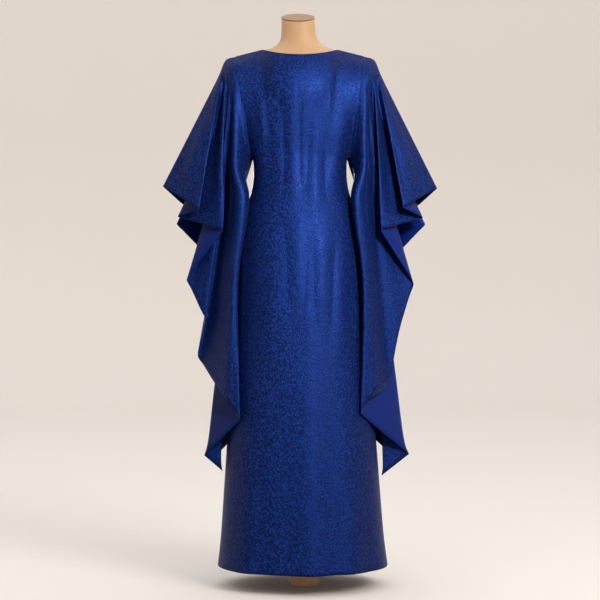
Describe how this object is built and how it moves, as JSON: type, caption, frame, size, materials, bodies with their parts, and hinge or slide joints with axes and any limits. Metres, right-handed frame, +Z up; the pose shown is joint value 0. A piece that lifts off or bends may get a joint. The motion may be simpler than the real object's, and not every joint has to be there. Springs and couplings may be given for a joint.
{
  "type": "kaftan on a dress form",
  "caption": "Full-length kaftan with long cascading sleeves, worn by a headless, armless dress form that stands on a round foot.",
  "frame": {"origin": "on the floor, under the middle of the object's overall width and depth", "axes": "+Z up, -Y towards the picture's camera, +X to the picture's right"},
  "size_m": [0.7652, 0.3982, 1.5941],
  "materials": {
    "body_left_cloth": "royal blue brocade with a soft satin sheen",
    "body_right_cloth": "royal blue brocade with a soft satin sheen",
    "body_far_cloth": "royal blue brocade with a soft satin sheen",
    "sleeve_left_cloth": "royal blue brocade with a soft satin sheen",
    "sleeve_right_cloth": "royal blue brocade with a soft satin sheen",
    "form_torso_skin": "smooth tan, low sheen",
    "form_cap_skin": "smooth brown, low sheen",
    "form_foot_skin": "smooth tan, low sheen"
  },
  "bodies": {
    "root": {"body_left": "body_left_cloth", "body_right": "body_right_cloth", "body_far": "body_far_cloth", "sleeve_left": "sleeve_left_cloth", "sleeve_right": "sleeve_right_cloth", "form_torso": "form_torso_skin", "form_cap": "form_cap_skin", "form_foot": "form_foot_skin"}
  },
  "joints": []
}
